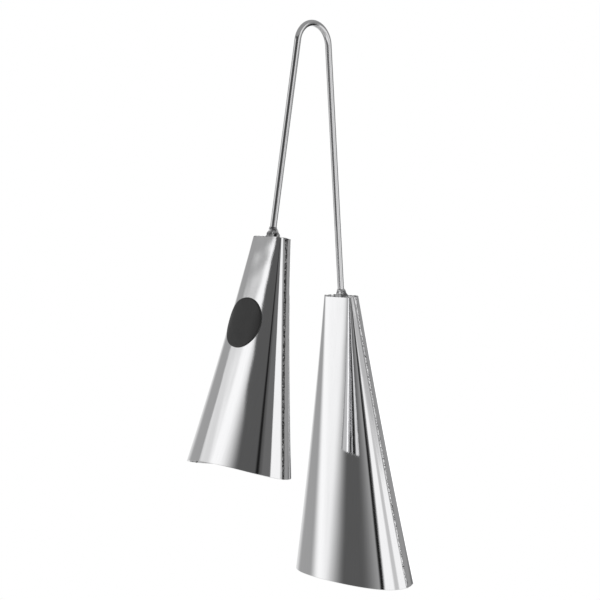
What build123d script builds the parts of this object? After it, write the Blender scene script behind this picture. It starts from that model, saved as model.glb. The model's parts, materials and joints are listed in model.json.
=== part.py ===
from build123d import *
import os
from itertools import accumulate
from math import copysign, cos, dist, pi, radians, sin
from typing import NamedTuple

# Double agogo bell: two sheet-metal bells, pinched at the top and oval at the mouth,
# on the ends of one springy bent rod.
# Millimetres and degrees. The handle lies in the XZ plane with its bend at the top.
# The origin is the point inside the top of the bend where the instrument hangs.
# The small bell is on the -X side and the large bell on the +X side.

# Rod of the handle
rod_diameter = 5.0
bend_radius = 16.1  # centreline of the bend
small_leg_angle = 10.3  # lean of the leg away from straight down
large_leg_angle = 4.4
small_leg_length = 146.5  # end of the bend to the top edge of the bell
large_leg_length = 188.5

# Small bell, half sizes to the outside of the sheet
small_bell_lean = 1.2  # further outwards than its leg
small_bell_height = 165.5  # top edge to mouth, in the middle of a face
small_top_half_width = 6.4  # face to face, in the plane of the handle
small_top_half_depth = 15.1  # seam to seam
small_mouth_half_width = 28.1
small_mouth_half_depth = 45.8
small_mouth_arch = 3.5  # how much lower the mouth is at the seams

# Large bell
large_bell_lean = -0.5
large_bell_height = 214.0
large_top_half_width = 5.5
large_top_half_depth = 14.5
large_mouth_half_width = 32.1
large_mouth_half_depth = 54.4
large_mouth_arch = 4.0

# Sheet of both bells
sheet_thickness = 1.0
waist_draw = 1.0  # how far the sides are drawn in halfway down, which flares the mouth
top_power = 6  # how square the pinched top is: 2 is an oval, and a large power a rectangle
mouth_power = 2
ring_shares = (0, 0.25, 0.5, 0.75, 1)  # of the height, where the section is set
ring_points = 36

# Weld bead along each seam
seam_gap = 1.6  # between the edges of the two shells
seam_bead_width = 3.2
seam_bead_height = 0.5

# Crown plate that closes the top of each bell, and the low bead along its rim
crown_thickness = 1.6
crown_bead_width = 1.2
crown_bead_height = 0.5
crown_bead_bevel = 0.3

# Weld between the rod and the crown plate
rod_weld_spread = 1.7  # how far it spreads from the rod towards the faces
rod_weld_throat = 0.6  # how thick it still is where it runs out on the rod
rod_weld_hollow = 0.5  # how far its face is hollowed in from a straight slope
small_rod_weld_height = 8.0
small_rod_weld_run = 3.7  # how far it spreads from the rod towards the seams
large_rod_weld_height = 5.5
large_rod_weld_run = 2.3

# Round badge on the outer face of the small bell
badge_diameter = 36.8
badge_thickness = 0.5
badge_glue = 0.2  # film between the badge and the sheet
badge_drop = 63.7  # top edge of the bell to the middle of the badge
badge_shift = 3.2  # from the middle of the face towards the back seam

# Worked out from the sizes above
rod_radius = rod_diameter / 2
bend_centre_height = rod_radius - bend_radius


class Bell(NamedTuple):
    """Sizes of one bell and of the leg that carries it."""

    name: str
    side: int  # -1 or +1, the side of the handle along X
    leg_angle: float
    leg_length: float
    lean: float
    height: float
    top_half_width: float
    top_half_depth: float
    mouth_half_width: float
    mouth_half_depth: float
    mouth_arch: float
    rod_weld_height: float
    rod_weld_run: float


small_bell = Bell(
    name="small",
    side=-1,
    leg_angle=small_leg_angle,
    leg_length=small_leg_length,
    lean=small_bell_lean,
    height=small_bell_height,
    top_half_width=small_top_half_width,
    top_half_depth=small_top_half_depth,
    mouth_half_width=small_mouth_half_width,
    mouth_half_depth=small_mouth_half_depth,
    mouth_arch=small_mouth_arch,
    rod_weld_height=small_rod_weld_height,
    rod_weld_run=small_rod_weld_run,
)

large_bell = Bell(
    name="large",
    side=1,
    leg_angle=large_leg_angle,
    leg_length=large_leg_length,
    lean=large_bell_lean,
    height=large_bell_height,
    top_half_width=large_top_half_width,
    top_half_depth=large_top_half_depth,
    mouth_half_width=large_mouth_half_width,
    mouth_half_depth=large_mouth_half_depth,
    mouth_arch=large_mouth_arch,
    rod_weld_height=large_rod_weld_height,
    rod_weld_run=large_rod_weld_run,
)


def bell_place(bell):
    """Where the middle of the bell's top edge lies, with local +Z up along the bell's axis."""
    lean = radians(bell.leg_angle)
    reach = bend_radius * cos(lean) + bell.leg_length * sin(lean)
    drop = bend_radius * sin(lean) - bell.leg_length * cos(lean)
    turn = -bell.side * (bell.leg_angle + bell.lean)
    return Pos(bell.side * reach, 0, bend_centre_height + drop) * Rot(0, turn, 0)


def oblong_point(half_width, half_depth, power, facing):
    """Point of an oblong whose outward normal has the angle facing, from the front towards +X.

    The oblong is where |x / half_width| ** power + |y / half_depth| ** power is 1.
    """
    across = half_width * abs(sin(facing))
    along = half_depth * abs(cos(facing))
    spread = power / (power - 1)
    reach = (across**spread + along**spread) ** (1 / power)
    x = half_width * across ** (spread - 1) / reach
    y = half_depth * along ** (spread - 1) / reach
    return copysign(x, sin(facing)), -copysign(y, cos(facing))


def ring(bell, depth, grow):
    """Points around the bell at a depth below its top edge, moved outwards by grow.

    Points that face the same way at the top and at the mouth are joined by straight lines, as in bent sheet.
    """
    share = depth / bell.height
    out = grow - 4 * waist_draw * share * (1 - share)
    points = []
    for i in range(ring_points):
        facing = 2 * pi * i / ring_points
        top_x, top_y = oblong_point(bell.top_half_width, bell.top_half_depth, top_power, facing)
        mouth_x, mouth_y = oblong_point(bell.mouth_half_width, bell.mouth_half_depth, mouth_power, facing)
        x = top_x + (mouth_x - top_x) * share + out * sin(facing)
        y = top_y + (mouth_y - top_y) * share - out * cos(facing)
        points.append((x, y))
    return points


def section(bell, depth, grow):
    """Face inside the ring. All sections of a bell run around it at the pace of the one halfway down."""
    middle = ring(bell, bell.height / 2, 0)
    steps = [dist(a, b) for a, b in zip(middle, middle[1:] + middle[:1])]
    pace = list(accumulate(steps, initial=0))
    return make_face(Edge.make_spline(ring(bell, depth, grow), periodic=True, parameters=pace))


def bell_form(bell, grow):
    """Solid inside the outer surface of the sheet, moved outwards by grow.

    It runs on past the lowest point of the mouth, and mouth_cutter then trims it.
    """
    full_length = bell.height + 3 * bell.mouth_arch
    depths = [share * bell.height for share in ring_shares] + [full_length]
    return loft([Pos(0, 0, -depth) * section(bell, depth, grow) for depth in depths])


def mouth_cutter(bell):
    """Drum across the mouth: a sheet cut straight and then rolled ends in this shallow arch."""
    arch_radius = (bell.mouth_half_depth**2 + bell.mouth_arch**2) / (2 * bell.mouth_arch)
    drum_length = 4 * bell.mouth_half_width
    return Pos(0, 0, -bell.height - arch_radius) * Rot(0, 90, 0) * Cylinder(arch_radius, drum_length)


def side_block(bell, x_from, x_to, y_from, y_to):
    """Upright block that picks one stretch of the bell's wall."""
    height = 3 * bell.height
    size = (x_to - x_from, y_to - y_from, height)
    return Pos((x_from + x_to) / 2, (y_from + y_to) / 2, 0) * Box(*size)


def bell_wall(bell, outside, inside):
    """Wall of the bell between two offsets from the outer surface, trimmed at the mouth."""
    return bell_form(bell, outside) - bell_form(bell, inside) - mouth_cutter(bell)


def shells(bell):
    """The outer and inner half of the bell, with the seams' gap between their edges."""
    wall = bell_wall(bell, 0, -sheet_thickness)
    reach = 2 * bell.mouth_half_width
    span = 2 * bell.mouth_half_depth
    left = wall & side_block(bell, -reach, -seam_gap / 2, -span, span)
    right = wall & side_block(bell, seam_gap / 2, reach, -span, span)
    outer, inner = (left, right) if bell.side < 0 else (right, left)
    return {"outer_shell": outer, "inner_shell": inner}


def seam_welds(bell):
    """Beads that fill the gap at the front and back seams and stand a little proud of them."""
    root = bell_wall(bell, 0, -sheet_thickness)
    cap = bell_wall(bell, seam_bead_height, 0)
    span = 2 * bell.mouth_half_depth
    beads = {}
    for name, y_from, y_to in (("front_seam_weld", -span, 0), ("back_seam_weld", 0, span)):
        filling = root & side_block(bell, -seam_gap / 2, seam_gap / 2, y_from, y_to)
        crest = cap & side_block(bell, -seam_bead_width / 2, seam_bead_width / 2, y_from, y_to)
        beads[name] = filling + crest
    return beads


def crown(bell):
    """Plate between the shells, flush with their top edges, and the bevelled bead over its rim."""
    plate = extrude(section(bell, 0, -sheet_thickness), -crown_thickness)
    bead = extrude(section(bell, 0, 0), crown_bead_height)
    bead = chamfer(bead.edges().group_by(Axis.Z)[-1], crown_bead_bevel)
    bead = bead - extrude(section(bell, 0, -crown_bead_width), crown_bead_height)
    return {"crown_plate": plate, "crown_weld": bead}


def rod_run(bell, below):
    """Straight rod from the end of the bend to some way below the top of the crown plate."""
    length = bell.leg_length + below
    turn = bell.side * bell.lean
    return Rot(0, turn, 0) * Pos(0, 0, bell.leg_length - length / 2) * Cylinder(rod_radius, length)


def leg(bell):
    """Straight stretch of the rod. Its lower end is cut to stand flat on the crown plate."""
    waste_size = 4 * rod_diameter
    waste = Pos(0, 0, -waste_size / 2) * Box(waste_size, waste_size, waste_size)
    return rod_run(bell, rod_radius) - waste


def rod_weld(bell):
    """Hollow fillet that runs from an oval foot on the crown plate up around the end of the rod."""
    tip = bell.rod_weld_height
    foot_width = rod_radius + rod_weld_spread
    foot_depth = rod_radius + bell.rod_weld_run
    throat = rod_radius + rod_weld_throat
    waist_width = (foot_width + throat) / 2 - rod_weld_hollow
    waist_depth = (foot_depth + throat) / 2 - rod_weld_hollow
    levels = [
        Ellipse(foot_width, foot_depth),
        Pos(0, 0, tip / 2) * Ellipse(waist_width, waist_depth),
        Pos(0, 0, tip) * Ellipse(throat, throat),
    ]
    return loft(levels) - rod_run(bell, rod_radius)


def handle_bend():
    """Bend of the rod from leg to leg."""
    sweep_angle = 180 - small_leg_angle - large_leg_angle
    path = Plane.XZ * CenterArc((0, bend_centre_height), bend_radius, large_leg_angle, sweep_angle)
    return sweep(Plane(path @ 0, z_dir=path % 0) * Circle(rod_radius), path)


def badge(bell):
    """Blank round badge that lies on the outer face and follows its curve."""
    skin = bell_form(bell, badge_glue + badge_thickness) - bell_form(bell, badge_glue)
    punch = Rot(0, 90, 0) * Cylinder(badge_diameter / 2, 2 * bell.mouth_half_width)
    return skin & Pos(bell.side * bell.mouth_half_width, badge_shift, -badge_drop) * punch


def bell_pieces(bell):
    """Every piece that is fixed to one leg, by name, in the bell's own place."""
    pieces = {"leg": leg(bell), "rod_weld": rod_weld(bell)}
    pieces.update(shells(bell))
    pieces.update(seam_welds(bell))
    pieces.update(crown(bell))
    return pieces


def assembly():
    """All pieces in the instrument's frame, by the name of their node."""
    nodes = {"handle_bend": handle_bend()}
    for bell in (small_bell, large_bell):
        for name, piece in bell_pieces(bell).items():
            nodes[f"{bell.name}_{name}"] = bell_place(bell) * piece
    nodes["small_badge"] = bell_place(small_bell) * badge(small_bell)
    return nodes


os.makedirs("parts", exist_ok=True)
for node, piece in assembly().items():
    export_step(piece, f"parts/{node}.step")
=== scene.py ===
import json
import math

import bmesh
import bpy
from mathutils import Matrix, Vector, noise


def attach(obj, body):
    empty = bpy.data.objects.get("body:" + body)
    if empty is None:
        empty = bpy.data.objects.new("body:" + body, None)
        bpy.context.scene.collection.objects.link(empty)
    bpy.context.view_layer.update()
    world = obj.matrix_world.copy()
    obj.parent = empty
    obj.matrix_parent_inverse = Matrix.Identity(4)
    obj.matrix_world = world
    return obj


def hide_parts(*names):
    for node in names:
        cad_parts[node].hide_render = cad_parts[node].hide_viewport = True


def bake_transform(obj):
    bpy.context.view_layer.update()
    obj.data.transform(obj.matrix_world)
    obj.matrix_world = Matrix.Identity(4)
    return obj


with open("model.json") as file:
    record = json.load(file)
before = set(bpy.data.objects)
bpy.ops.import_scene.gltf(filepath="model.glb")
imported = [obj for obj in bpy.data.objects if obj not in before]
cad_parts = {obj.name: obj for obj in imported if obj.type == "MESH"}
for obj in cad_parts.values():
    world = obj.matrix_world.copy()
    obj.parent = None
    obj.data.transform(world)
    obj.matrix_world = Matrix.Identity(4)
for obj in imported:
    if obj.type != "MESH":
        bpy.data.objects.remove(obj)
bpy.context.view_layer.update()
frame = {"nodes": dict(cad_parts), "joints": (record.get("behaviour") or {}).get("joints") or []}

# Double agogo bell: looks of the hanging instrument.
# Sizes of the pieces are millimetres, as in the part's source, and MM turns them into metres.

MM = 0.001

# Sizes as in the solids
SOLID_ROD_RADIUS = 2.5
BEND_RADIUS = 16.1
SHEET = 1.0
WAIST_DRAW = 1.0
TOP_POWER = 6
MOUTH_POWER = 2
SEAM_GAP = 1.6
BADGE_RADIUS = 18.4
BADGE_TOP = 0.7
BADGE_DROP = 63.7
BADGE_SHIFT = 3.2

# Sizes a little smaller than in the solids
ROD_RADIUS = 2.495
LEG_CLEARANCE = 0.2
WELD_SPREAD = 1.6
WELD_THROAT = 0.5
WELD_HOLLOW = 0.4
BEAD_HEIGHT = 0.42
BEAD_LIMITS = (-0.05, BEAD_HEIGHT + 0.06)

# Rounded and worn edges, and the unevenness of the sheet
EDGE_RADIUS = 0.3
SHOULDER = 0.8
WAVE_HEIGHT = 0.05
WAVE_LENGTH = 32.0
DENT_HEIGHT = 0.06
DENT_LENGTH = 13.0
DENT_REACH = 40

# Heights and sizes of the lumps on the welds
BEAD_LUMPS = ((0.20, 0.9), (0.12, 0.42))
CROWN_LUMPS = ((0.34, 2.2), (0.12, 0.8))
WELD_LUMPS = ((0.75, 2.4), (0.15, 0.9))

# Steps once around a bell from its front seam; the corners are at the odd ones
PACES = 8

# Fineness of the meshes
SHELL_COLUMNS = 160
SHELL_ROWS = 96
ROD_SIDES = 40
BEAD_STEP = 0.42
HALVINGS = 40

# Length of rod that one unit of its texture covers, in metres
ROD_TEXTURE_LENGTH = 0.2

# The photograph's view, in metres and millimetres of lens
CAMERA_AZIMUTH = math.radians(-44.573)
CAMERA_ELEVATION = math.radians(3.971)
CAMERA_DISTANCE = 1.1
CAMERA_AIM = Vector((-0.00708, 0.00657, -0.20167))
CAMERA_LENS = 88.567
CAMERA_SENSOR = 36
CAMERA_NEAR = 0.01

# The floor, in metres, and the light that it adds for camera rays and for mirrored ones
FLOOR_HEIGHT = -0.9
FLOOR_RADIUS = 1.0
FLOOR_SIDES = 96
FLOOR_GREY = 0.86
FLOOR_ROUGHNESS = 0.9
FLOOR_GLOW = 0.62
FLOOR_MIRRORED_GLOW = 0.25

# Range that a noise texture mostly covers, and the faint tint of the greys
NOISE_SPAN = (0.3, 0.7)
BLUE_TINT = 1.01


# Shape of the bells

def oblong_point(half_width, half_depth, power, facing):
    """Point of an oblong that faces this way.

    The oblong is |x / half_width| ** power + |y / half_depth| ** power = 1.
    """
    across = half_width * abs(math.sin(facing))
    along = half_depth * abs(math.cos(facing))
    spread = power / (power - 1)
    reach = (across**spread + along**spread) ** (1 / power)
    x = half_width * across ** (spread - 1) / reach
    y = half_depth * along ** (spread - 1) / reach
    return math.copysign(x, math.sin(facing)), -math.copysign(y, math.cos(facing))


def facing_at(pace):
    """Angle at a pace around the bell, slow past the seams and the middles of the faces."""
    flat = 2 * round(pace / 2)
    return 2 * math.pi / PACES * (flat + (pace - flat) ** 3)


def pace_across(start, share):
    """Pace at a share of the way from the front seam's side to the back seam's."""
    return start + (PACES / 2 - 2 * start) * share


def shoulder(pace):
    """How far the top edge is worn down, which it is at the corners."""
    return SHOULDER * max(0.0, 1 - 2 * abs(pace % 2 - 1)) ** 2


def lumps(point, size, seed):
    """Smooth lumps of about this size, between -1 and 1."""
    return noise.noise(point / size + Vector((seed, 3 * seed, 7 * seed)))


def layered_lumps(point, layers, seed):
    """Sum of lumps of several heights and sizes."""
    return sum(height * lumps(point, size, seed + i) for i, (height, size) in enumerate(layers))


class Bell:
    """Sizes of one bell and its place in the frame."""

    def __init__(
        self, name, leg_angle, lean, leg_length, height, top, mouth, arch,
        weld_height, weld_run, weld_pit, bead_width, spatter,
    ):
        joint = next(j for j in frame["joints"] if j["child"] == name + "_bell")
        self.name = name
        self.body = name + "_bell"
        self.hinge = Vector(joint["pos_m"])
        self.side = 1 if self.hinge.x > 0 else -1
        self.height = height
        self.top = top
        self.mouth = mouth
        self.arch = arch
        self.weld_height = weld_height
        self.weld_run = weld_run
        self.weld_pit = weld_pit
        self.bead_width = bead_width
        self.spatter = spatter
        leg_turn = Matrix.Rotation(-self.side * math.radians(leg_angle), 4, "Y")
        bell_turn = Matrix.Rotation(-self.side * math.radians(leg_angle + lean), 4, "Y")
        self.leg_up = leg_turn @ Vector((0, 0, 1))
        self.leg_end = self.hinge - self.leg_up * leg_length * MM
        self.place = Matrix.Translation(self.leg_end) @ bell_turn

    def mouth_depth(self, facing):
        """Depth of the mouth's edge, which is lowest at the seams."""
        along = oblong_point(*self.mouth, MOUTH_POWER, facing)[1] / self.mouth[1]
        return self.height + self.arch * along**2

    def wall(self, facing, depth, grow):
        """Point of the wall that faces this way, from the front seam towards +X.

        Points of the pinched top and of the oval mouth that face the same way are joined by
        straight lines, and the sides are drawn in between them.
        """
        share = depth / self.height
        out = grow - 4 * WAIST_DRAW * share * (1 - share)
        top_x, top_y = oblong_point(*self.top, TOP_POWER, facing)
        mouth_x, mouth_y = oblong_point(*self.mouth, MOUTH_POWER, facing)
        x = top_x + (mouth_x - top_x) * share + out * math.sin(facing)
        y = top_y + (mouth_y - top_y) * share - out * math.cos(facing)
        return Vector((x, y, -depth))

    def pace_at(self, reaches, depth, grow, low, high):
        """Pace between low and high at which the wall first reaches some place, by halving."""
        for _ in range(HALVINGS):
            middle = (low + high) / 2
            if reaches(self.wall(facing_at(middle), depth, grow)):
                high = middle
            else:
                low = middle
        return high

    def dents(self, point):
        """Unevenness of the bent sheet: long waves, and shorter ones where the top was pinched."""
        waves = WAVE_HEIGHT * lumps(point, WAVE_LENGTH, self.height)
        pinched = DENT_HEIGHT * math.exp(point.z / DENT_REACH)
        return waves + pinched * lumps(point, DENT_LENGTH, self.height + 1)

    def seat(self, point):
        """Local point, in millimetres, to the frame."""
        return self.place @ (point * MM)


SMALL = Bell(
    "small",
    leg_angle=10.3,
    lean=1.2,
    leg_length=146.5,
    height=165.5,
    top=(6.4, 15.1),
    mouth=(28.1, 45.8),
    arch=3.5,
    weld_height=8.0,
    weld_run=3.7,
    weld_pit=1.0,
    bead_width=2.5,
    spatter=(6.6,),
)
LARGE = Bell(
    "large",
    leg_angle=4.4,
    lean=-0.5,
    leg_length=188.5,
    height=214.0,
    top=(5.5, 14.5),
    mouth=(32.1, 54.4),
    arch=4.0,
    weld_height=5.5,
    weld_run=2.6,
    weld_pit=0.0,
    bead_width=1.9,
    spatter=(5.3, 5.45, 5.75, 6.0),
)
BELLS = (SMALL, LARGE)


# Mesh helpers

def new_piece(name, bm, materials, smooth=True):
    """Turn a bmesh in frame metres into an object with outward normals."""
    bmesh.ops.recalc_face_normals(bm, faces=bm.faces)
    mesh = bpy.data.meshes.new(name)
    bm.to_mesh(mesh)
    bm.free()
    for material in materials:
        mesh.materials.append(material)
    mesh.polygons.foreach_set("use_smooth", [smooth] * len(mesh.polygons))
    piece = bpy.data.objects.new(name, mesh)
    bpy.context.collection.objects.link(piece)
    return piece


def settle(piece, bell, part):
    """Let a piece stand for a solid of the bell and ride with it."""
    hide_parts(f"{bell.name}_{part}")
    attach(piece, bell.body)


def skin(bm, columns, close_columns=False, close_rows=False):
    """Quads over columns of vertices, column by column."""
    count = len(columns)
    rows = len(columns[0])
    for i in range(count if close_columns else count - 1):
        a, b = columns[i], columns[(i + 1) % count]
        for j in range(rows if close_rows else rows - 1):
            k = (j + 1) % rows
            bm.faces.new((a[j], b[j], b[k], a[k]))


def crease(bm, vertices, closed=False):
    """Mark the edges along a run of vertices as sharp."""
    following = vertices[1:] + vertices[:1] if closed else vertices[1:]
    for a, b in zip(vertices, following):
        bm.edges.get((a, b)).smooth = False


def lay_uv(bm, places):
    """Give every corner its vertex's place as texture coordinates."""
    layer = bm.loops.layers.uv.new("UVMap")
    for face in bm.faces:
        for corner in face.loops:
            corner[layer].uv = places[corner.vert]


# Node helpers

def node(tree, kind, **settings):
    """New node with its sockets or its properties set."""
    made = tree.nodes.new(kind)
    for key, value in settings.items():
        if key in made.inputs:
            made.inputs[key].default_value = value
        else:
            setattr(made, key, value)
    return made


def compute(tree, operation, *operands):
    """Math node over sockets and plain numbers; gives back its result."""
    made = node(tree, "ShaderNodeMath", operation=operation)
    for socket, operand in zip(made.inputs, operands):
        if isinstance(operand, (int, float)):
            socket.default_value = operand
        else:
            tree.links.new(operand, socket)
    return made.outputs["Value"]


def remap(tree, value, start, end, low, high, smooth=False):
    """Map a span of a value to a span of numbers, held at both ends."""
    made = node(tree, "ShaderNodeMapRange", interpolation_type="SMOOTHSTEP" if smooth else "LINEAR")
    sockets = ("From Min", "From Max", "To Min", "To Max")
    for socket, number in zip(sockets, (start, end, low, high)):
        made.inputs[socket].default_value = number
    tree.links.new(value, made.inputs["Value"])
    return made.outputs["Result"]


class Surface:
    """Material with a Principled shader, built up from noise over the object or along it."""

    def __init__(self, name, metallic, **constants):
        self.material = bpy.data.materials.new(name)
        self.material.use_nodes = True
        self.tree = self.material.node_tree
        self.shader = self.tree.nodes["Principled BSDF"]
        self.shader.inputs["Metallic"].default_value = metallic
        for socket, value in constants.items():
            self.shader.inputs[socket.replace("_", " ")].default_value = value
        coordinates = node(self.tree, "ShaderNodeTexCoord")
        self.along = coordinates.outputs["UV"]
        self.around = coordinates.outputs["Object"]

    def noise(self, coordinates, scale, detail, stretch=(1, 1, 1)):
        mapping = node(self.tree, "ShaderNodeMapping", Scale=stretch)
        self.tree.links.new(coordinates, mapping.inputs["Vector"])
        texture = node(self.tree, "ShaderNodeTexNoise", Scale=scale, Detail=detail)
        self.tree.links.new(mapping.outputs["Vector"], texture.inputs["Vector"])
        return texture.outputs["Fac"]

    def cells(self, scale):
        texture = node(self.tree, "ShaderNodeTexVoronoi", Scale=scale)
        self.tree.links.new(self.around, texture.inputs["Vector"])
        return texture.outputs["Distance"]

    def graded(self, value, low, high, span=NOISE_SPAN):
        """Number that goes from low to high over a span of a value."""
        return remap(self.tree, value, *span, low, high)

    def colour(self, value, dark, light, span=NOISE_SPAN):
        """Grey that goes from dark to light over a span of a value."""
        made = node(self.tree, "ShaderNodeValToRGB")
        for i, grey in enumerate((dark, light)):
            element = made.color_ramp.elements[i]
            element.position = span[i]
            element.color = (grey, grey, grey * BLUE_TINT, 1)
        self.tree.links.new(value, made.inputs["Fac"])
        self.tree.links.new(made.outputs["Color"], self.shader.inputs["Base Color"])

    def roughness(self, value, more=None):
        """Roughness by one value, or by the sum of two."""
        total = compute(self.tree, "ADD", value, more) if more else value
        self.tree.links.new(total, self.shader.inputs["Roughness"])

    def bump(self, height, strength, distance):
        made = node(self.tree, "ShaderNodeBump", Strength=strength, Distance=distance)
        self.tree.links.new(height, made.inputs["Height"])
        self.tree.links.new(made.outputs["Normal"], self.shader.inputs["Normal"])


# Materials

def shell_metal():
    """Polished sheet: faint lengthwise polishing lines and smudges."""
    metal = Surface("shell_chrome", metallic=1.0)
    lines = metal.noise(metal.along, scale=1.0, detail=4.0, stretch=(700, 9, 1))
    smudge = metal.noise(metal.around, scale=45.0, detail=4.0)
    metal.colour(lines, dark=0.74, light=0.80)
    metal.roughness(
        metal.graded(lines, low=0.03, high=0.06),
        metal.graded(smudge, low=0.0, high=0.03, span=(0.45, 0.8)),
    )
    metal.bump(lines, strength=0.02, distance=0.0002)
    return metal.material


def inside_metal():
    """Unpolished side of the sheet, with rolling marks and a little grime."""
    metal = Surface("shell_inside", metallic=1.0)
    lines = metal.noise(metal.along, scale=1.0, detail=4.0, stretch=(500, 25, 1))
    grime = metal.noise(metal.around, scale=60.0, detail=5.0)
    metal.colour(grime, dark=0.34, light=0.60)
    metal.roughness(
        metal.graded(lines, low=0.20, high=0.34),
        metal.graded(grime, low=0.12, high=0.0),
    )
    metal.bump(lines, strength=0.15, distance=0.0003)
    return metal.material


def plate_metal():
    """Crown plate: plated, with heat marks around the weld."""
    metal = Surface("crown_plate", metallic=1.0)
    marks = metal.noise(metal.around, scale=240.0, detail=5.0)
    metal.colour(marks, dark=0.42, light=0.74)
    metal.roughness(metal.graded(marks, low=0.36, high=0.16))
    metal.bump(marks, strength=0.2, distance=0.0003)
    return metal.material


def rod_metal():
    """Drawn and plated rod with fine lengthwise lines and small dings."""
    metal = Surface("rod_chrome", metallic=1.0)
    lines = metal.noise(metal.along, scale=1.0, detail=3.0, stretch=(60, 12, 1))
    dings = metal.noise(metal.around, scale=220.0, detail=2.0)
    metal.colour(lines, dark=0.55, light=0.65)
    metal.roughness(
        metal.graded(lines, low=0.07, high=0.13),
        metal.graded(dings, low=0.0, high=0.05),
    )
    metal.bump(dings, strength=0.015, distance=0.0004)
    return metal.material


def seam_metal(name, dark, light, span):
    """Rough seam: darker in the pits as painted shade, lighter on the crests, and scale of random
    tone between the lumps.
    """
    metal = Surface(name, metallic=1.0)
    scale = metal.noise(metal.around, scale=700.0, detail=6.0)
    pits = metal.graded(metal.cells(scale=900.0), low=0.55, high=1.25, span=(0.0, 0.6))
    # Scale noise times a cell mask that darkens the pits as painted shade and also sinks them in
    # the bump
    pit_shade_and_scale = compute(metal.tree, "MULTIPLY", scale, pits)
    metal.colour(pit_shade_and_scale, dark, light, span)
    metal.roughness(metal.graded(scale, low=0.42, high=0.16))
    metal.bump(pit_shade_and_scale, strength=0.4, distance=0.0004)
    return metal.material


def weld_metal():
    """Plated weld: smooth bright lumps, with rougher hollows whose colour is darkened as painted
    shade.
    """
    metal = Surface("rough_weld", metallic=1.0)
    hollows = metal.noise(metal.around, scale=320.0, detail=4.0)
    # Colour darkens into the hollows of the bump as painted shade
    metal.colour(hollows, dark=0.16, light=0.72, span=(0.36, 0.62))
    metal.roughness(metal.graded(hollows, low=0.34, high=0.10))
    metal.bump(hollows, strength=0.35, distance=0.0006)
    return metal.material


def badge_black():
    """Blank satin-black badge with a fine orange-peel skin and faint scuffs."""
    plastic = Surface("badge_black", metallic=0.0, Coat_Weight=0.15, Coat_Roughness=0.25)
    peel = plastic.noise(plastic.around, scale=1600.0, detail=2.0)
    scuffs = plastic.noise(plastic.around, scale=130.0, detail=6.0)
    plastic.colour(scuffs, dark=0.012, light=0.022)
    plastic.roughness(plastic.graded(scuffs, low=0.36, high=0.50))
    plastic.bump(peel, strength=0.12, distance=0.0002)
    return plastic.material


SHELL = shell_metal()
INSIDE = inside_metal()
PLATE = plate_metal()
ROD = rod_metal()
# Shaded and lit copies of one seam metal: the darker one is painted shade and painted reflection
# for the small bell's seam
SHADED_SEAM = seam_metal("seam_bead", dark=0.02, light=0.34, span=(0.40, 0.80))
LIT_SEAM = seam_metal("seam_bead_lit", dark=0.03, light=0.80, span=(0.33, 0.56))
WELD = weld_metal()
BADGE = badge_black()


# Pieces of the bells

def shell_section(top, length):
    """Depths and offsets of the sheet: down the outside, round the mouth's edge, up the inside."""
    end = length - EDGE_RADIUS
    depths = [top + (end - top) * i / SHELL_ROWS for i in range(SHELL_ROWS + 1)]
    turns = [math.radians(degrees) for degrees in (30, 60, 90)]
    section = [(depth, 0.0) for depth in depths]
    for turn in turns:
        inset = -EDGE_RADIUS + EDGE_RADIUS * math.cos(turn)
        section.append((end + EDGE_RADIUS * math.sin(turn), inset))
    for turn in reversed(turns):
        inset = -SHEET + EDGE_RADIUS - EDGE_RADIUS * math.cos(turn)
        section.append((end + EDGE_RADIUS * math.sin(turn), inset))
    section += [(depth, -SHEET) for depth in reversed(depths)]
    return section


def shell(bell, part, towards):
    """One half of a bell; towards is -1 or +1, the side of the seams that it lies on."""
    seam_side = SEAM_GAP / 2
    starts = [
        bell.pace_at(lambda point: point.x > seam_side, depth, grow, 0, 1)
        for depth, grow in shell_section(0, bell.height)
    ]
    rim_start = starts[SHELL_ROWS]
    bm = bmesh.new()
    columns = []
    places = {}
    for i in range(SHELL_COLUMNS + 1):
        share = i / SHELL_COLUMNS
        top = shoulder(pace_across(starts[0], share))
        length = bell.mouth_depth(facing_at(pace_across(rim_start, share)))
        column = []
        for (depth, grow), start in zip(shell_section(top, length), starts):
            facing = towards * facing_at(pace_across(start, share))
            dent = bell.dents(bell.wall(facing, depth, 0))
            vertex = bm.verts.new(bell.seat(bell.wall(facing, depth, grow + dent)))
            places[vertex] = (share, depth / bell.height)
            column.append(vertex)
        columns.append(column)
    skin(bm, columns, close_rows=True)
    rows = len(columns[0])
    inside_from = rows - SHELL_ROWS - 1
    for i, face in enumerate(bm.faces):
        if inside_from <= i % rows < rows - 1:
            face.material_index = 1
    for column in (columns[0], columns[-1]):
        bm.faces.new(column)
        crease(bm, column, closed=True)
    for j in (0, SHELL_ROWS, inside_from, rows - 1):
        crease(bm, [column[j] for column in columns])
    lay_uv(bm, places)
    piece = new_piece(f"{bell.name}_{part}_piece", bm, (SHELL, INSIDE))
    settle(piece, bell, part)


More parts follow.
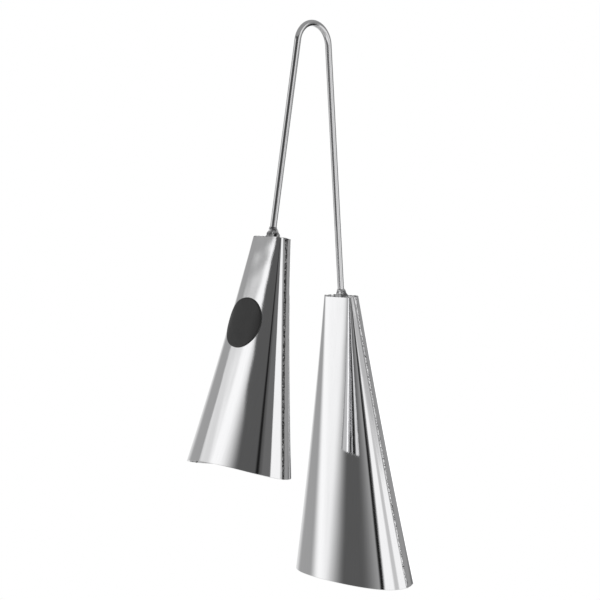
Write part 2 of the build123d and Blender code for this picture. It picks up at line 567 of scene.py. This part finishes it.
def bead_section(bell, depth, seed):
    """Places across a seam and offsets from the wall, over the bead's crest and along its root."""
    crest_points, root_points = 11, 5
    wander_width, wander_length = 0.22, 9.0
    swell_share, swell_length = 0.22, 2.6
    top_share, top_reach = 0.9, 2.5
    crest_share = 0.7
    root_height, root_length = 0.22, 1.0
    root_least, root_change = 0.8, 0.5
    level = Vector((0, 0, depth))
    wander = wander_width * lumps(level, wander_length, seed)
    swell = swell_share * lumps(level, swell_length, seed + 1)
    swell += top_share * math.exp(-depth / top_reach)
    half = bell.bead_width / 2 * (1 + swell)
    lowest, highest = BEAD_LIMITS
    section = []
    for j in range(crest_points):
        across = -1 + 2 * j / (crest_points - 1)
        x = across * half + wander
        round_off = math.sqrt(max(0.0, 1 - across * across))
        rough = layered_lumps(Vector((x, 0, depth)), BEAD_LUMPS, seed + 2)
        rise = (crest_share * BEAD_HEIGHT + rough) * round_off
        section.append((x, min(highest, max(lowest, rise))))
    for j in range(root_points):
        across = 1 - 2 * j / (root_points - 1)
        x = across * SEAM_GAP / 2
        sink = root_height * math.sqrt(max(0.0, 1 - across * across))
        sink *= root_least + root_change * lumps(Vector((x, 0, depth)), root_length, seed + 4)
        section.append((x, -SHEET - sink))
    return section


def seam_wall(bell, depth):
    """Points of the wall from the front seam to a little past the corner."""
    count = 40
    reach = 1.2
    return [bell.wall(facing_at(reach * k / count), depth, 0) for k in range(count + 1)]


def between(points, x):
    """The y at some x, on straight lines between points that go up in x."""
    k = next(k for k in range(1, len(points)) if points[k].x >= x)
    share = (x - points[k - 1].x) / (points[k].x - points[k - 1].x)
    return points[k - 1].y + (points[k].y - points[k - 1].y) * share


def seam_bead(bell, part, seam_angle):
    """Weld bead in a seam: a rough crest outside, a lower one inside, and the filling between."""
    end = bell.mouth_depth(seam_angle)
    front = math.cos(seam_angle)
    count = int(end / BEAD_STEP)
    seed = bell.height / 60 + seam_angle
    bm = bmesh.new()
    columns = []
    for i in range(count + 1):
        depth = end * i / count
        wall = seam_wall(bell, depth)
        column = []
        for x, grow in bead_section(bell, depth, seed):
            y = between(wall, abs(x)) - grow
            column.append(bm.verts.new(bell.seat(Vector((x, front * y, -depth)))))
        columns.append(column)
    skin(bm, columns, close_rows=True)
    bm.faces.new(columns[0])
    bm.faces.new(columns[-1])
    # The small bell's seam takes the darkened copy as painted shade and reflection, the large
    # bell's the light one
    metal = SHADED_SEAM if bell is SMALL else LIT_SEAM
    settle(new_piece(f"{bell.name}_{part}_piece", bm, (metal,)), bell, part)


def crown_bead(bell):
    """Lumpy low bead along the rim of the crown plate, from the shells' top edge to the plate."""
    around = 260
    drop_width, drop_height = 0.07, 0.8
    lowest, widest = -0.1, 0.3
    sideways = 0.5
    # Offsets from the wall and heights. The first and the last two lie on the sheet and the plate.
    outline = (
        (0.0, -0.1),
        (0.05, 0.15),
        (-0.05, 0.4),
        (-0.35, 0.5),
        (-0.75, 0.45),
        (-1.1, 0.25),
        (-1.4, -0.05),
        (-0.9, -0.2),
    )
    free = range(1, len(outline) - 2)
    seed = 2.9 + bell.height / 50
    bm = bmesh.new()
    columns = []
    for i in range(around):
        pace = PACES * i / around
        facing = facing_at(pace)
        drops = sum(math.exp(-(((pace - place) / drop_width) ** 2)) for place in bell.spatter)
        column = []
        for k, (grow, height) in enumerate(outline):
            base = bell.wall(facing, 0, grow) + Vector((0, 0, height))
            rough = 0.0
            if k in free:
                rough = layered_lumps(base, CROWN_LUMPS, seed) + drop_height * drops
            spot = bell.wall(facing, 0, min(grow + sideways * rough, widest))
            spot.z = max(height + rough, lowest) - shoulder(pace)
            column.append(bm.verts.new(bell.seat(spot)))
        columns.append(column)
    skin(bm, columns, close_columns=True, close_rows=True)
    piece = new_piece(f"{bell.name}_crown_weld_piece", bm, (WELD,))
    settle(piece, bell, "crown_weld")


def rod_weld(bell):
    """Lumpy fillet from the crown plate up around the rod, longer towards the front."""
    around, steps = 112, 30
    front_run, back_run = 1.5, 0.9
    wobble_share, wobble_rate = 0.2, 1.6
    hollow_share = 3.6
    collar_share = 0.9
    pit_angle, pit_width, pit_top = 252, 17, 0.45
    pit_floor = ROD_RADIUS + 0.2
    dark_from = 0.4
    thinnest = ROD_RADIUS + 0.05
    bore = ROD_RADIUS - 0.3
    seed = 4.1 + bell.height / 40
    lean = bell.place.to_3x3().inverted() @ bell.leg_up
    bm = bmesh.new()
    columns = []
    pitted = set()
    for i in range(around):
        angle = 2 * math.pi * i / around
        ray = Vector((math.cos(angle), math.sin(angle), 0))
        hole = bell.weld_pit * math.exp(-(((math.degrees(angle) - pit_angle) / pit_width) ** 2))
        run = bell.weld_run * (front_run if ray.y < 0 else back_run) / WELD_SPREAD
        wobble = wobble_share * noise.noise(ray * wobble_rate + Vector((0, 0, seed)))
        foot = WELD_SPREAD * (1 + (run - 1) * ray.y**2 + wobble)
        column = []
        for j in range(steps + 1):
            share = j / steps
            height = bell.weld_height * share
            out = ROD_RADIUS + foot + (WELD_THROAT - foot) * share
            out -= hollow_share * WELD_HOLLOW * share * (1 - share)
            # The lumps rise over the first quarter and fade over the last third
            fade = min(1.0, 4 * share) * min(1.0, 3 * (1 - share) + 0.15)
            out += fade * layered_lumps(ray * out + Vector((0, 0, height)), WELD_LUMPS, seed)
            pit = hole * max(0.0, 1 - (share / pit_top) ** 2)
            out += (pit_floor - out) * pit
            # Faces deep in the pit are listed for the darkened seam metal, a painted shade in the
            # hollow
            if pit > dark_from:
                pitted.add((i, j))
            column.append(ray * max(thinnest, out) + lean * height)
        column += [ray * bore + lean * bell.weld_height * collar_share, ray * bore]
        columns.append([bm.verts.new(bell.seat(point)) for point in column])
    skin(bm, columns, close_columns=True, close_rows=True)
    rows = len(columns[0])
    # Pit faces take the second material, darkened as painted shade
    for i, face in enumerate(bm.faces):
        if divmod(i, rows) in pitted:
            face.material_index = 1
    piece = new_piece(f"{bell.name}_rod_weld_piece", bm, (WELD, SHADED_SEAM))
    settle(piece, bell, "rod_weld")


def badge(bell):
    """Blank disc that follows the outer face, with a rounded rim."""
    bm = bmesh.new()
    around, rings = 128, 20
    rim = 0.982
    # Shares of the radius and heights over the wall
    profile = [(1.0, 0.02), (1.0, 0.45), (0.994, 0.62), (rim, BADGE_TOP)]
    profile += [(rim * (1 - k / rings), BADGE_TOP) for k in range(1, rings)]

    def spot(share, turn, grow):
        y = BADGE_SHIFT + BADGE_RADIUS * share * math.cos(turn)
        depth = BADGE_DROP + BADGE_RADIUS * share * math.sin(turn)
        pace = bell.pace_at(lambda point: point.y > y, depth, grow, 0, PACES / 2)
        return bm.verts.new(bell.seat(bell.wall(bell.side * facing_at(pace), depth, grow)))

    columns = []
    for i in range(around):
        turn = 2 * math.pi * i / around
        columns.append([spot(share, turn, grow) for share, grow in profile])
    skin(bm, columns, close_columns=True)
    centre = spot(0, 0, BADGE_TOP)
    for a, b in zip(columns, columns[1:] + columns[:1]):
        bm.faces.new((a[-1], b[-1], centre))
    bm.faces.new([column[0] for column in columns])
    settle(new_piece(f"{bell.name}_badge_piece", bm, (BADGE,)), bell, "badge")


# Handle

def rod_piece(name, centres, tangents):
    """Round rod along centre points in metres; its section turns with the tangents in XZ."""
    bm = bmesh.new()
    columns = []
    places = {}
    run = 0.0
    for i, (centre, tangent) in enumerate(zip(centres, tangents)):
        run += (centre - centres[i - 1]).length if i else 0.0
        across = Vector((-tangent.z, 0, tangent.x))
        column = []
        for k in range(ROD_SIDES):
            angle = 2 * math.pi * k / ROD_SIDES
            normal = across * math.cos(angle) + Vector((0, 1, 0)) * math.sin(angle)
            vertex = bm.verts.new(centre + normal * ROD_RADIUS * MM)
            places[vertex] = (abs(1 - 2 * k / ROD_SIDES), run / ROD_TEXTURE_LENGTH)
            column.append(vertex)
        columns.append(column)
    skin(bm, columns, close_rows=True)
    for column in (columns[0], columns[-1]):
        bm.faces.new(column)
        crease(bm, column, closed=True)
    lay_uv(bm, places)
    piece = new_piece(name, bm, (ROD,))
    return piece


def leg(bell):
    """Straight stretch of the rod."""
    count = 80
    foot = bell.leg_end + bell.leg_up * LEG_CLEARANCE * MM
    centres = [bell.hinge.lerp(foot, i / count) for i in range(count + 1)]
    piece = rod_piece(f"{bell.name}_leg_piece", centres, [-bell.leg_up] * (count + 1))
    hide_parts(f"{bell.name}_leg")
    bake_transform(piece)


def handle_bend():
    """Bend of the rod from leg to leg."""
    middle = Vector((0, 0, (SOLID_ROD_RADIUS - BEND_RADIUS) * MM))
    first = math.atan2(SMALL.hinge.z - middle.z, SMALL.hinge.x)
    last = math.atan2(LARGE.hinge.z - middle.z, LARGE.hinge.x)
    count = 96
    centres = []
    tangents = []
    for i in range(count + 1):
        angle = first + (last - first) * i / count
        outward = Vector((math.cos(angle), 0, math.sin(angle)))
        centres.append(middle + outward * BEND_RADIUS * MM)
        tangents.append(Vector((outward.z, 0, -outward.x)))
    piece = rod_piece("handle_bend_piece", centres, tangents)
    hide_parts("handle_bend")
    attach(piece, "handle")


for bell in BELLS:
    shell(bell, "outer_shell", bell.side)
    shell(bell, "inner_shell", -bell.side)
    seam_bead(bell, "front_seam_weld", 0.0)
    seam_bead(bell, "back_seam_weld", math.pi)
    crown_bead(bell)
    rod_weld(bell)
    leg(bell)
    frame["nodes"][f"{bell.name}_crown_plate"].data.materials[0] = PLATE
badge(SMALL)
handle_bend()


# Studio

class Studio:
    """World whose brightness depends on the direction: panels and gaps, painted one over another.

    Azimuth goes from -Y towards +X. Both angles are degrees.
    """

    def __init__(self, base):
        world = bpy.data.worlds.new("studio")
        world.use_nodes = True
        bpy.context.scene.world = world
        self.tree = world.node_tree
        split = node(self.tree, "ShaderNodeSeparateXYZ")
        direction = node(self.tree, "ShaderNodeTexCoord").outputs["Generated"]
        self.tree.links.new(direction, split.inputs["Vector"])
        forward = self.math("MULTIPLY", split.outputs["Y"], -1)
        self.azimuth = self.math("DEGREES", self.math("ARCTAN2", split.outputs["X"], forward))
        self.elevation = self.math("DEGREES", self.math("ARCSINE", split.outputs["Z"]))
        self.light = None
        self.base = base

    def math(self, operation, *operands):
        return compute(self.tree, operation, *operands)

    def leaning(self, slope):
        """Azimuth whose lines lean by some degrees for each degree of elevation."""
        return self.math("MULTIPLY_ADD", self.elevation, -slope, self.azimuth)

    def edge(self, value, place, soft, before, after):
        """Mask that changes smoothly at a place."""
        return remap(self.tree, value, place - soft, place + soft, before, after, smooth=True)

    def span(self, value, start=None, end=None):
        """Mask that is 1 between two edges, each a place and its softness, or open without one."""
        edges = []
        if start:
            edges.append(self.edge(value, *start, 0, 1))
        if end:
            edges.append(self.edge(value, *end, 1, 0))
        return self.overlap(*edges)

    def below_arc(self, azimuth, height, bend, soft):
        """Mask below an edge that is level right of an azimuth and curves down left of it."""
        left = self.math("MINIMUM", self.math("ADD", self.azimuth, -azimuth), 0)
        raised = self.math("MULTIPLY_ADD", self.math("POWER", left, 2), bend, self.elevation)
        return self.edge(raised, height, soft, 1, 0)

    def overlap(self, *masks):
        """Mask of what all these have in common."""
        mask = masks[0]
        for other in masks[1:]:
            mask = self.math("MULTIPLY", mask, other)
        return mask

    def paint(self, light, *masks):
        """Lay a panel of this light over what is there."""
        mix = node(self.tree, "ShaderNodeMix")
        mix.inputs["A"].default_value = self.base
        mix.inputs["B"].default_value = light
        self.tree.links.new(self.overlap(*masks), mix.inputs["Factor"])
        if self.light:
            self.tree.links.new(self.light, mix.inputs["A"])
        self.light = mix.outputs["Result"]

    def finish(self):
        """Show the plain white backdrop to the camera."""
        self.paint(1.0, node(self.tree, "ShaderNodeLightPath").outputs["Is Camera Ray"])
        self.tree.links.new(self.light, self.tree.nodes["Background"].inputs["Color"])


def studio():
    """Surroundings that the polished metal shows."""
    sky = Studio(base=0.42)
    azimuth, elevation, span = sky.azimuth, sky.elevation, sky.span
    # Room and white backdrop behind the object
    sky.paint(0.36, span(azimuth, (42, 3), (92, 8)))
    sky.paint(0.03, span(azimuth, (48, 4), (96, 5)), span(elevation, (-60, 1), (-5, 3)))
    sky.paint(0.80, span(azimuth, (96, 8), (168, 10)))
    sky.paint(1.80, span(azimuth, (102, 4), (124, 4)), span(elevation, (-40, 3), (2, 3)))
    # Dark gap around the camera, brighter near the ground
    sky.paint(0.115, span(azimuth, (-131, 5), (-10, 4)))
    sky.paint(0.42, span(azimuth, (-66, 20), (-51, 3)), span(elevation, (-60, 5), (6, 5)))
    sky.paint(0.17, span(azimuth, (-42, 4), (-10, 4)), span(elevation, (10, 3), (60, 1)))
    # Left softbox, whose top edge curves down to the left and whose upper left is dimmer
    top = sky.math(
        "MAXIMUM",
        sky.below_arc(azimuth=-127, height=23.5, bend=0.0115, soft=0.3),
        sky.below_arc(azimuth=-129, height=24.4, bend=0.0205, soft=0.3),
    )
    left = sky.overlap(span(sky.leaning(-0.4), start=(-153.5, 8)), top)
    sky.paint(1.22, left, span(sky.leaning(0.44), end=(-121.5, 17)))
    sky.paint(0.86, left, span(azimuth, end=(-141.5, 5)), span(elevation, (5, 5), (60, 1)))
    sky.paint(0.60, left, span(azimuth, end=(-141.2, 0.8)), span(elevation, (19, 1.2), (60, 1)))
    # Camera and its stand
    stand = span(sky.leaning(-0.2), (-53, 3), (-44.5, 3))
    sky.paint(0.015, stand, span(elevation, (-40, 3), (32, 1)))
    # Right softbox with a dimmer stripe across it and a dimmer foot
    right = sky.overlap(span(sky.leaning(1.35), start=(-41, 3)), span(azimuth, (-80, 1), (38, 4)))
    sky.paint(1.16, right)
    sky.paint(0.58, right, span(elevation, (5.8, 1.2), (10.2, 1.2)))
    sky.paint(0.68, span(azimuth, (-14, 4), (3, 4)), span(elevation, (-60, 1), (6, 1)))
    # Ceiling
    sky.paint(0.45, span(elevation, start=(33, 2)))
    sky.finish()


def floor():
    """Plain pale floor, well below the hanging bells."""
    bm = bmesh.new()
    bmesh.ops.create_circle(bm, cap_ends=True, segments=FLOOR_SIDES, radius=FLOOR_RADIUS)
    bmesh.ops.translate(bm, verts=bm.verts, vec=(0, 0, FLOOR_HEIGHT))
    material = bpy.data.materials.new("floor_white")
    material.use_nodes = True
    tree = material.node_tree
    shader = tree.nodes["Principled BSDF"]
    shader.inputs["Base Color"].default_value = (FLOOR_GREY, FLOOR_GREY, FLOOR_GREY, 1)
    shader.inputs["Roughness"].default_value = FLOOR_ROUGHNESS
    rays = node(tree, "ShaderNodeLightPath").outputs
    mirrored = compute(tree, "MULTIPLY", rays["Is Glossy Ray"], FLOOR_MIRRORED_GLOW)
    strength = compute(tree, "MULTIPLY_ADD", rays["Is Camera Ray"], FLOOR_GLOW, mirrored)
    glow = node(tree, "ShaderNodeEmission")
    tree.links.new(strength, glow.inputs["Strength"])
    both = node(tree, "ShaderNodeAddShader")
    tree.links.new(shader.outputs["BSDF"], both.inputs[0])
    tree.links.new(glow.outputs["Emission"], both.inputs[1])
    tree.links.new(both.outputs["Shader"], tree.nodes["Material Output"].inputs["Surface"])
    new_piece("floor", bm, (material,), smooth=False)


def camera():
    """Camera at the photograph's view."""
    flat = math.cos(CAMERA_ELEVATION)
    back = Vector((
        math.sin(CAMERA_AZIMUTH) * flat,
        -math.cos(CAMERA_AZIMUTH) * flat,
        math.sin(CAMERA_ELEVATION),
    ))
    data = bpy.data.cameras.new("camera")
    data.sensor_width = CAMERA_SENSOR
    data.lens = CAMERA_LENS
    data.clip_start = CAMERA_NEAR
    made = bpy.data.objects.new("camera", data)
    made.location = CAMERA_AIM + back * CAMERA_DISTANCE
    made.rotation_euler = back.to_track_quat("Z", "Y").to_euler()
    bpy.context.collection.objects.link(made)
    bpy.context.scene.camera = made


studio()
floor()
camera()
bpy.context.scene.view_settings.view_transform = "Standard"
